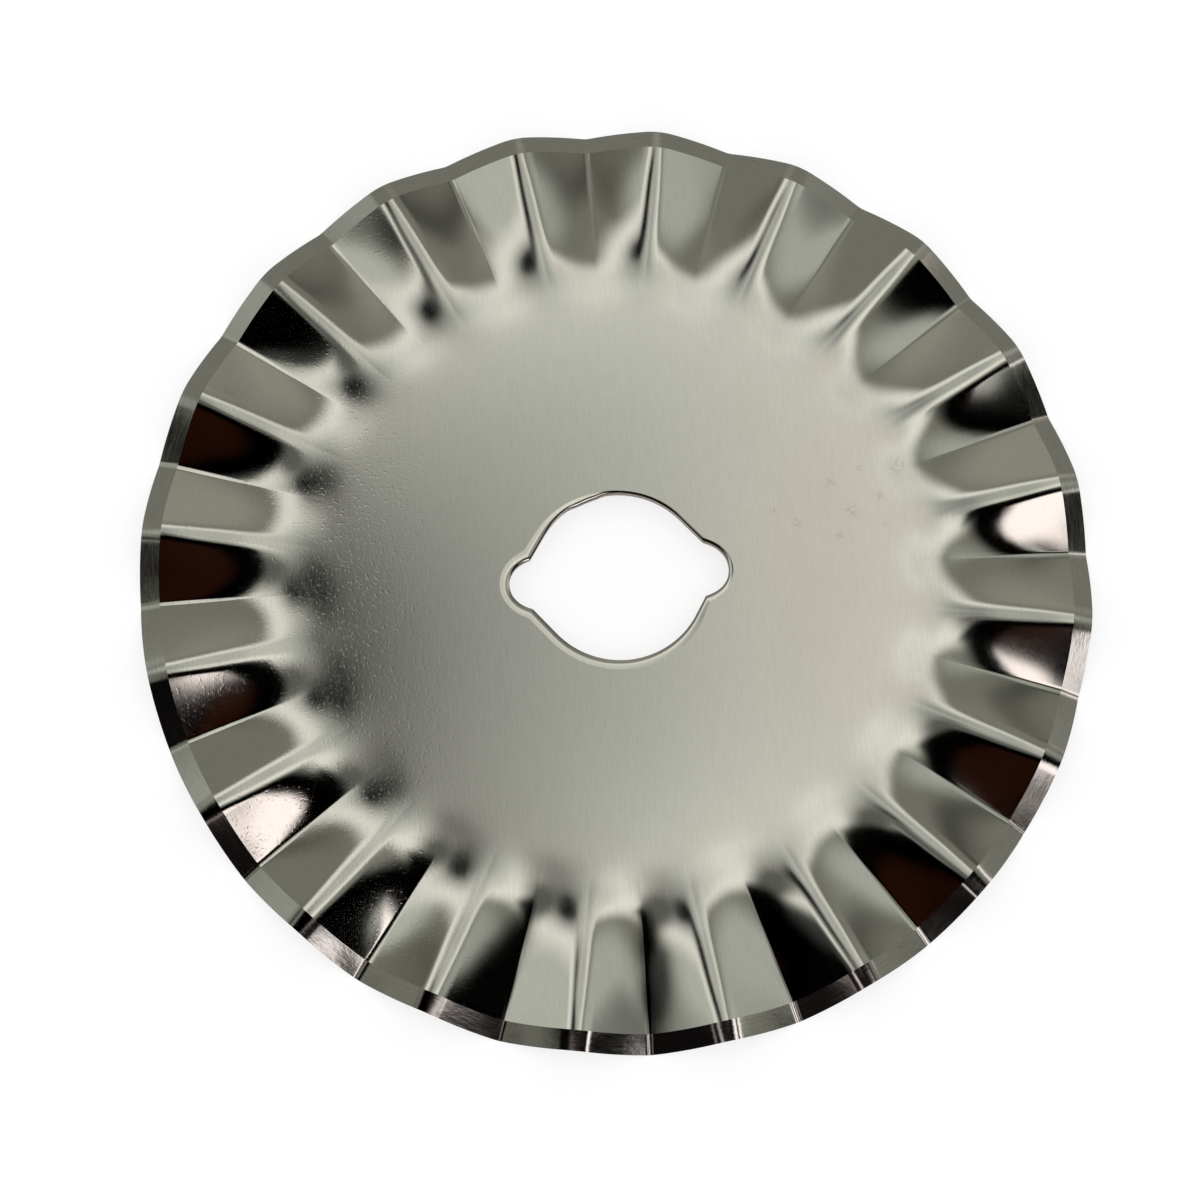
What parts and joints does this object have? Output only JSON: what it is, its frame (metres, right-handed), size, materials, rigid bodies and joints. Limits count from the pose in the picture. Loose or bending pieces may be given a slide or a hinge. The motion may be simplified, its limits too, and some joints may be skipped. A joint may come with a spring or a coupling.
{
  "type": "rotary cutter blade",
  "caption": "Thin round steel blade with a pressed wave rim, a ground edge and a lobed centre hole, for cutting a zigzag edge in cloth or paper.",
  "frame": {"origin": "on the bore's axis, at half the thickness of the flat centre", "axes": "+Z along the bore, out of the face with the rolled hole edge; +X through the two lobes of the hole"},
  "size_m": [0.045, 0.045, 0.0015],
  "materials": {
    "steel": "brushed"
  },
  "bodies": {
    "root": {"blade": "steel"}
  },
  "joints": []
}
